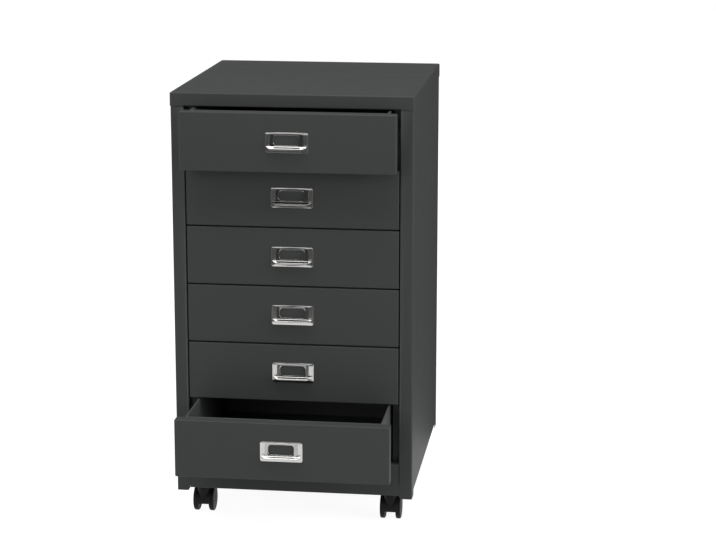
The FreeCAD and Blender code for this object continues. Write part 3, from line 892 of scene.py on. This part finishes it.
def thicken(piece: Piece, thickness: float, broken_edge: float, outwards: Array) -> None:
    """Turns an open front face into a closed sheet with broken edges.

    Args:
        piece: the open surface.
        thickness: the sheet's thickness, which is laid behind the face.
        broken_edge: the width of the bevel on its edges.
        outwards: the direction that most of the face looks in.
    """
    faces = piece.data.polygons
    facing = (read(faces, "normal", 3) @ outwards) @ read(faces, "area", 1)
    if float(facing[0]) < 0:
        piece.data.flip_normals()
    solid = piece.modifiers.new("thickness", "SOLIDIFY")
    solid.thickness, solid.offset = thickness, -1.0
    solid.use_even_offset = solid.use_quality_normals = True
    bevel = piece.modifiers.new("broken_edges", "BEVEL")
    bevel.width, bevel.segments = broken_edge, 2
    bevel.limit_method, bevel.angle_limit = "ANGLE", math.radians(50.0)
    bpy.context.view_layer.update()
    done = bpy.data.meshes.new_from_object(piece.evaluated_get(bpy.context.evaluated_depsgraph_get()))
    piece.modifiers.clear()
    piece.data = done
    smoothed(done, 40.0)


def joined(name: str, parts: Sequence[Piece]) -> Piece:
    """Joins several objects at the origin into one.

    Args:
        name: the new object's name.
        parts: the objects, which are removed.

    Returns:
        The new object.
    """
    work = bmesh.new()
    for part in parts:
        work.from_mesh(part.data)
        bpy.data.objects.remove(part)
    mesh = bpy.data.meshes.new(name)
    work.to_mesh(mesh)
    work.free()
    return placed(name, mesh)


@dataclass
class Drawers:
    """The drawers: boxed front, folded tray and pull."""

    finishes: Finishes
    count: int

    def build(self) -> None:
        """Dresses every drawer."""
        for level in range(1, self.count + 1):
            self.finishes.dress_sheet(f"drawer_{level}_front", "charcoal_paint")
            # The trays take the lightened charcoal, which is painted light for their dim insides.
            self.finishes.dress_sheet(f"drawer_{level}_tray", "tray_paint")
            self.finishes.dress(Pull(level).build(), f"drawer_{level}_pull", "pull_chrome")


# Casters


@dataclass
class Wheel:
    """One wheel of a twin-wheel caster: rounded tread, domed outer face with two grooves and a hub cap."""

    radius: float
    width: float
    edge: float = 2.4 * MM
    face_rise: float = 0.4 * MM
    groove_depth: float = 0.28 * MM
    groove_width: float = 0.35 * MM
    groove_places: tuple[float, ...] = (0.80, 0.40)
    cap_place: float = 0.36
    cap_rise: float = 0.25 * MM
    cap_wall: float = 0.5 * MM
    bore_radius: float = 2.58 * MM
    bore_depth: float = 5.6 * MM
    bore_chamfer: float = 0.25 * MM
    dish_depth: float = 0.9 * MM
    dish_inside: tuple[float, float] = (0.42, 0.46)
    dish_outside: tuple[float, float] = (0.80, 0.84)

    def face(self) -> Array:
        """The section of the outer face, from the tread to the middle.

        At radius r it stands out by h (1 - (r / R)^2), less a bell-shaped groove at each groove's share of R,
        and more by the hub cap's rise within its share.

        Returns:
            Rows of (distance along the axle from the inner face, radius).
        """
        full = self.radius - self.edge
        radius = full * (1 - np.linspace(0.0, 1.0, 26))
        height = self.width - self.cap_rise - self.face_rise * (radius / full) ** 2
        for place in self.groove_places:
            height -= self.groove_depth * np.exp(-(((radius - place * full) / self.groove_width) ** 2))
        height += self.cap_rise * eased((self.cap_place * full - radius) / self.cap_wall)
        return np.stack([height, radius], axis=1)

    def profile(self) -> Array:
        """The section from the blind bore's end, past the dished inner face and the tread, to the outer face.

        Returns:
            Rows of (distance along the axle from the inner face, radius).
        """
        inside, outside = self.dish_inside, self.dish_outside
        hub = [
            (self.bore_depth, 0.0),
            (self.bore_depth, self.bore_radius),
            (self.bore_chamfer, self.bore_radius),
            (0.0, self.bore_radius + self.bore_chamfer),
            (0.0, inside[0] * self.radius),
            (self.dish_depth, inside[1] * self.radius),
            (self.dish_depth, outside[0] * self.radius),
            (0.0, outside[1] * self.radius),
        ]
        rise, fall = quarter_bend(self.edge, 9)
        tread_end = self.width - self.cap_rise - self.face_rise
        inner = np.stack([rise, self.radius - fall], axis=1)
        outer = np.stack([tread_end - fall, self.radius - rise], axis=1)
        return np.concatenate([np.array(hub), inner, outer, self.face()[1:]])


@dataclass
class Hood:
    """The swivelling body: a fender over both wheels, a web between them and the neck under the stem."""

    surface: Surface
    axle: Axis
    swivel: Axis
    wheel_radius: float
    web_width: float
    neck_top: float
    fender_width: float = 25.0 * MM
    wheel_gap: float = 0.6 * MM
    thickness: float = 2.0 * MM
    fender_round: float = 0.85 * MM
    crown: float = 0.45 * MM
    front_height: float = 16.5 * MM
    rear_rise: float = 7.0 * MM
    hub_radius: float = 9.0 * MM
    web_round: float = 0.8 * MM
    web_fade: float = 0.32
    neck_radius: float = 10.0 * MM
    neck_foot: float = 2.0 * MM
    neck_waist: float = 0.96
    collar_start: float = 1.6 * MM
    collar_end: float = 0.9 * MM
    socket_share: float = 0.42
    socket_depth: float = 6.0 * MM

    def __post_init__(self) -> None:
        """Works out the fender's radii and the turns about the axle at which it starts and ends."""
        self.inner_radius = self.wheel_radius + self.wheel_gap
        self.outer_radius = self.inner_radius + self.thickness
        self.middle_radius = (self.inner_radius + self.outer_radius) / 2
        self.start = math.pi + math.asin((self.wheel_radius - self.front_height) / self.outer_radius)
        self.end = math.asin(self.rear_rise / self.outer_radius)

    def fender(self) -> None:
        """Adds a rounded flat section carried along an arc about the axle, with its sides drawn down."""
        turn = np.linspace(self.start, self.end, 48)[:, None]
        outline = rounded_loop(self.fender_width, self.thickness, self.fender_round, 9, 7)
        drawn = self.crown * (np.abs(outline[:, 0]) / (self.fender_width / 2)) ** 4
        radius = self.middle_radius + outline[:, 1] - drawn * (outline[:, 1] > 0)
        self.surface.tube(self.axle.place(outline[:, 0], radius * np.cos(turn), radius * np.sin(turn)))

    def web(self) -> None:
        """Adds the plate between the wheels, extruded with round edges.

        Its outline has the fender's middle radius over the covered arc, eased down to the hub's outside it.
        """
        turn = turns(144)
        middle, half = (self.start + self.end) / 2, (self.start - self.end) / 2
        away = np.abs((turn - middle + math.pi) % FULL_TURN - math.pi)
        covered = 1.0 - eased((away - half + self.web_fade) / self.web_fade)
        outline = self.hub_radius + (self.middle_radius - self.hub_radius) * covered
        rise, fall = quarter_bend(self.web_round, 5)
        half_width = self.web_width / 2
        inset = np.concatenate([[0.0], rise, [outline.min() / 2]])
        along = np.concatenate([[0.0], half_width - fall, [half_width]])
        radius = np.pad(outline - np.concatenate([inset[::-1], inset[1:]])[:, None], ((1, 1), (0, 0)))
        along = np.pad(np.concatenate([along[::-1], -along[1:]]), 1, mode="edge")
        self.surface.revolve(self.axle, along[:, None], radius, turn)

    def neck(self) -> None:
        """Adds the socket round the kingpin, a turned shape with a collar."""
        low, top = self.wheel_radius + self.neck_foot, self.neck_top
        waist, socket = self.neck_radius * self.neck_waist, self.neck_radius * self.socket_share
        corners = [
            (low, 0.0),
            (low, waist),
            (top - self.collar_start, waist),
            (top - self.collar_end, self.neck_radius),
            (top, self.neck_radius),
            (top, socket),
            (top - self.socket_depth, socket),
            (top - self.socket_depth, 0.0),
        ]
        radii = [0.3 * MM, 0.3 * MM, 0.2 * MM, 0.35 * MM, 0.2 * MM, 0.2 * MM]
        self.surface.lathe(self.swivel, filleted_line(corners, radii, 5), 64)


@dataclass
class Stem:
    """The steel stem: kingpin, flange and threaded end."""

    surface: Surface
    axis: Axis
    foot: float
    seat: float
    top: float
    flange_radius: float
    kingpin_radius: float = 3.5 * MM
    flange_height: float = 2.0 * MM
    stem_radius: float = 4.0 * MM
    thread_pitch: float = 1.25 * MM
    thread_height: float = 0.55 * MM
    rows_for_turn: int = 8
    segments: int = 28
    lead_length: float = 1.0 * MM
    lead_share: float = 0.18

    @property
    def core_radius(self) -> float:
        """The radius at the thread's root."""
        return self.stem_radius - self.thread_height

    def plain(self) -> None:
        """Turns the kingpin and the flange up to its seat."""
        flange_low = self.seat - self.flange_height
        corners = [
            (self.foot, 0.0),
            (self.foot, self.kingpin_radius),
            (flange_low, self.kingpin_radius),
            (flange_low, self.flange_radius),
            (self.seat, self.flange_radius),
            (self.seat, self.core_radius),
        ]
        radii = [0.7 * MM, 0.2 * MM, 0.35 * MM, 0.05 * MM]
        self.surface.lathe(self.axis, filleted_line(corners, radii, 5), self.segments)

    def thread(self) -> None:
        """Winds the thread from the seat to the top, where it thins.

        Its radius at height z and turn t is R - h |2 f - 1|, where f is the fraction of z / p - t / 2 pi.
        """
        turn = turns(self.segments)
        rows = int((self.top - self.seat) / self.thread_pitch * self.rows_for_turn)
        z = np.linspace(self.seat, self.top, rows)[:, None]
        fraction = (z / self.thread_pitch - turn / FULL_TURN) % 1.0
        radius = self.stem_radius - self.thread_height * np.abs(2 * fraction - 1)
        lead = eased((self.top - z) / self.lead_length)
        radius = radius * (1.0 - self.lead_share + self.lead_share * lead)
        root, middle = np.full((1, self.segments), self.core_radius), np.zeros((1, self.segments))
        along, radius = np.concatenate([z[:1], z, z[-1:]]), np.concatenate([root, radius, middle])
        self.surface.revolve(self.axis, along, radius, turn)


def pivot(joint_name: str) -> tuple[Array, Array]:
    """The place and the direction of a packed joint."""
    joint = next(joint for joint in frame["joints"] if joint["name"] == joint_name)
    return np.array(joint["pos_m"], dtype=float), np.array(joint["axis"], dtype=float)


def measured(node: str, centre: Array, axis: Array) -> tuple[Array, Array]:
    """Measures where the points of a node's mesh lie round an axis.

    Args:
        node: the node's name.
        centre: a place on the axis.
        axis: its direction, of length one.

    Returns:
        How far each point lies along the axis, and how far away from it.
    """
    offset = read(frame["nodes"][node].data.vertices, "co", 3) - centre
    along = offset @ axis
    return along, np.linalg.norm(offset - along[:, None] * axis, axis=1)


def swivel_axis(corner: str) -> Axis:
    """The upright axis that a caster turns about, from the floor."""
    place, _ = pivot(f"caster_{corner}_turn")
    return square_axis(np.array([place[0], place[1], 0.0]), UP, RIGHT)


@dataclass
class Caster:
    """One twin-wheel caster: its hood, axle, stem and both wheels."""

    finishes: Finishes
    corner: str
    axle_radius: float = 2.5 * MM
    axle_chamfer: float = 0.5 * MM
    web_search: float = 0.2 * MM

    def name(self, part: str) -> str:
        """The name of the caster's node, joint or piece for a part."""
        return f"caster_{self.corner}_{part}"

    def wheel(self, side: str) -> None:
        """Builds one wheel from its node's mesh and its joint.

        Args:
            side: left or right.
        """
        node = self.name(f"wheel_{side}")
        centre, axle = pivot(self.name(f"roll_{side}"))
        outwards = axle if side == "right" else -axle
        along, away = measured(node, centre, outwards)
        inner = float(along.min())
        wheel = Wheel(float(away.max()), float(along.max()) - inner)
        surface = Surface(f"{node}_moulded")
        surface.lathe(square_axis(centre + outwards * inner, outwards, UP), wheel.profile(), 96)
        self.finishes.dress(surface.piece(), node, "wheel_plastic")

    def hood(self) -> None:
        """Builds the hood. Its web's width is measured near the axle on the hood's solid."""
        node = self.name("hood")
        centre, axle = pivot(self.name("roll_right"))
        along, away = measured(node, centre, axle)
        web_width = float(2 * np.abs(along[away < Hood.hub_radius + self.web_search]).max())
        wheel_low, wheel_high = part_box(self.name("wheel_right"))
        wheel_radius = (wheel_high.z - wheel_low.z) / 2
        surface = Surface(f"{node}_moulded")
        axle_axis = Axis(centre, axle, np.cross(UP, axle), UP)
        neck_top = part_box(node)[1].z
        hood = Hood(surface, axle_axis, swivel_axis(self.corner), wheel_radius, web_width, neck_top)
        hood.fender()
        hood.web()
        hood.neck()
        self.finishes.dress(surface.piece(), node, "black_plastic")

    def axle(self) -> None:
        """Builds the turned axle with chamfered ends."""
        node = self.name("axle")
        centre, axle = pivot(self.name("roll_right"))
        half = float(np.abs(measured(node, centre, axle)[0]).max())
        radius, chamfer = self.axle_radius, self.axle_chamfer
        end = [(half, 0.0), (half, radius - chamfer), (half - chamfer, radius)]
        profile = np.array([(-along, away) for along, away in end] + end[::-1])
        surface = Surface(f"{node}_turned")
        surface.lathe(square_axis(centre, axle, UP), profile, 40)
        self.finishes.dress(surface.piece(), node, "zinc_steel")

    def stem(self) -> None:
        """Builds the stem from its node's box and the base plate's underside."""
        node = self.name("stem")
        low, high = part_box(node)
        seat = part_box("base_plate")[0].z
        surface = Surface(f"{node}_turned")
        stem = Stem(surface, swivel_axis(self.corner), low.z, seat, high.z, (high.x - low.x) / 2)
        stem.thread()
        stem.plain()
        self.finishes.dress(surface.piece(), node, "zinc_steel")

    def build(self) -> None:
        """Builds every piece of the caster but its nut."""
        self.hood()
        self.axle()
        self.stem()
        self.wheel("left")
        self.wheel("right")


@dataclass
class Nuts:
    """The hexagon nuts on the casters' stems."""

    finishes: Finishes
    across_flats: float = 13.0 * MM
    bore: float = 4.03 * MM
    chamfer: float = 0.7 * MM
    face_share: float = 0.98

    def build(self, corners: Sequence[str]) -> None:
        """Builds the nuts as one piece.

        The radius at the turn t is a hexagon's, a / cos(t mod 60 - 30 degrees), held under the round chamfer
        towards both faces.

        Args:
            corners: the casters' corners.
        """
        low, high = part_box("caster_nuts")
        flats = self.across_flats / 2
        turn = turns(72)
        hexagon = flats / np.cos(turn % (math.pi / 3) - math.pi / 6)
        z = np.array([low.z, low.z, low.z + self.chamfer, high.z - self.chamfer, high.z, high.z])
        limits = np.array([self.bore, flats * self.face_share, flats / math.cos(math.pi / 6)])
        radius = np.minimum(hexagon, np.concatenate([limits, limits[::-1]])[:, None])
        surface = Surface("caster_nut_set")
        for corner in corners:
            surface.revolve(swivel_axis(corner), z[:, None], radius, turn, wrap_rows=True)
        self.finishes.dress(surface.piece(), "caster_nuts", "zinc_steel")


# Studio


@dataclass(frozen=True)
class Lamp:
    """A soft rectangular lamp that looks at a point. One that isn't mirrored shows in no gloss."""

    name: str
    place: Place
    target: Place
    size: tuple[float, float]
    watts: float
    mirrored: bool = True

    def light(self) -> None:
        """Adds the lamp to the scene."""
        data = bpy.data.lights.new(self.name, "AREA")
        data.shape, data.size, data.size_y, data.energy = "RECTANGLE", self.size[0], self.size[1], self.watts
        lamp = placed(self.name, data)
        lamp.visible_glossy = self.mirrored
        lamp.location = self.place
        lamp.rotation_euler = (Vector(self.target) - Vector(self.place)).to_track_quat("-Z", "Y").to_euler()


@dataclass(frozen=True)
class Flag:
    """A flat card between two opposite corners, square to the axis on which they agree."""

    name: str
    low: Place
    high: Place

    def card(self, material: bpy.types.Material) -> Piece:
        """Makes the card's single face.

        Args:
            material: the card's material.

        Returns:
            The card.
        """
        low, high = np.array(self.low), np.array(self.high)
        first, second = np.flatnonzero(high > low)
        corners = np.stack([low, low, low, low])
        corners[1:3, first] = high[first]
        corners[2:4, second] = high[second]
        mesh = bpy.data.meshes.new(self.name)
        mesh.from_pydata(corners.tolist(), [], [(0, 1, 2, 3)])
        mesh.materials.append(material)
        return placed(self.name, mesh)


@dataclass
class Studio:
    """Floor, world, lamps, flags and camera. Angles are in degrees, and the rest is in metres or watts."""

    camera_place: Place = (0.4923, -3.2112, 1.0882)
    yaw: float = -7.42
    pitch: float = 12.69
    roll: float = 0.02
    focal_pixels: float = 2060.4
    image_width: float = 716.0
    sensor_mm: float = 36.0
    ambient: float = 0.32
    floor_size: float = 60.0
    floor_glow: float = 0.92
    floor_shade: float = 0.25
    floor_bounce: float = 0.4
    flag_grey: float = 0.09
    lamps: tuple[Lamp, ...] = (
        Lamp("overhead", (0.0, -0.9, 3.2), (0.0, 0.0, 0.5), (2.4, 2.0), 66.0),
        Lamp("right_fill", (3.2, -1.2, 1.3), (0.0, 0.0, 0.4), (1.8, 2.2), 66.0),
        Lamp("front_fill", (-1.2, -3.6, 1.6), (0.0, 0.0, 0.35), (2.4, 1.8), 46.0, False),
        Lamp("rear_fill", (-0.8, 3.6, 1.5), (0.0, 0.0, 0.35), (2.4, 1.8), 44.0, False),
        Lamp("left_fill", (-3.2, 0.6, 1.3), (0.0, 0.0, 0.35), (1.8, 1.8), 26.0, False),
    )
    cards: tuple[Flag, ...] = (
        Flag("flag_behind", (-3.5, 3.0, 0.0), (3.5, 3.0, 4.5)),
        Flag("flag_floor_behind", (-0.2, 0.25, 0.001), (3.5, 3.0, 0.001)),
        Flag("flag_wall_front", (-3.0, -4.3, 1.53), (2.0, -4.3, 4.2)),
        Flag("flag_floor_front", (-3.0, -6.5, 0.001), (2.5, -1.25, 0.001)),
    )

    def background(self) -> None:
        """White for the camera and for reflections, and an even grey light for everything else."""
        world = bpy.data.worlds.new("studio_world")
        bpy.context.scene.world = world
        nodes = NodeTree(world)
        strength = nodes.add("ShaderNodeMapRange", nodes.seen_directly(), To_Min=self.ambient)
        shade = nodes.tree.nodes["Background"]
        nodes.put(shade.inputs["Color"], grey(1.0))
        nodes.put(shade.inputs["Strength"], strength.outputs["Result"])

    def floor(self) -> None:
        """A wide pale floor that shows the shadow and is white around it."""
        bpy.ops.mesh.primitive_plane_add(size=self.floor_size)
        floor = bpy.context.object
        floor.name = "studio_floor"
        nodes = NodeTree(bpy.data.materials.new("studio_floor"))
        nodes.tree.nodes.remove(nodes.shader)
        matt = nodes.add("ShaderNodeBsdfDiffuse", Color=grey(self.floor_bounce))
        glow = nodes.add("ShaderNodeEmission", Color=grey(self.floor_glow))
        faint = nodes.add("ShaderNodeBsdfDiffuse", Color=grey(self.floor_shade))
        both = nodes.add("ShaderNodeAddShader", faint.outputs[0], glow.outputs[0])
        seen = nodes.seen_directly()
        either = nodes.add("ShaderNodeMixShader", seen, matt.outputs[0], both.outputs[0])
        nodes.put(nodes.tree.nodes["Material Output"].inputs["Surface"], either.outputs[0])
        floor.data.materials.append(nodes.owner)

    def flags(self) -> None:
        """Dark cards that only gloss and metal reflect, where the photographer's room was dark."""
        nodes = NodeTree(bpy.data.materials.new("studio_flag"))
        nodes.finish(Base_Color=grey(self.flag_grey), Roughness=1.0, Specular_IOR_Level=0.0)
        for flag in self.cards:
            card = flag.card(nodes.owner)
            card.visible_camera = card.visible_diffuse = False
            card.visible_transmission = card.visible_shadow = False

    def camera(self) -> None:
        """Sets the camera from its place, its three turns and its focal length in pixels."""
        yaw, pitch, roll = math.radians(self.yaw), math.radians(self.pitch), math.radians(self.roll)
        level = Matrix.Rotation(-yaw, 4, "Z") @ Matrix.Rotation(math.pi / 2 - pitch, 4, "X")
        data = bpy.data.cameras.new("camera")
        data.sensor_width, data.sensor_fit = self.sensor_mm, "HORIZONTAL"
        data.lens = self.focal_pixels * self.sensor_mm / self.image_width
        data.clip_end = 100.0
        camera = placed("camera", data)
        place = Matrix.Translation(self.camera_place)
        camera.matrix_world = place @ level @ Matrix.Rotation(roll, 4, "Z")
        bpy.context.scene.camera = camera

    def build(self) -> None:
        """Sets up the studio."""
        self.background()
        self.floor()
        self.flags()
        for lamp in self.lamps:
            lamp.light()
        self.camera()
        bpy.context.scene.view_settings.view_transform = "Standard"


def main() -> None:
    """Builds the cabinet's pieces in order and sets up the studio."""
    logging.basicConfig(level=logging.INFO, format="%(name)s: %(message)s")
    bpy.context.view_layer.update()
    finishes = Finishes()
    drawer_count = sum(name.endswith("_tray") for name in frame["nodes"])
    Casing(finishes, drawer_count).build()
    BackScrews(finishes).build()
    Drawers(finishes, drawer_count).build()
    for corner in CASTER_CORNERS:
        Caster(finishes, corner).build()
    Nuts(finishes).build(CASTER_CORNERS)
    Studio().build()


if __name__ == "__main__":
    main()
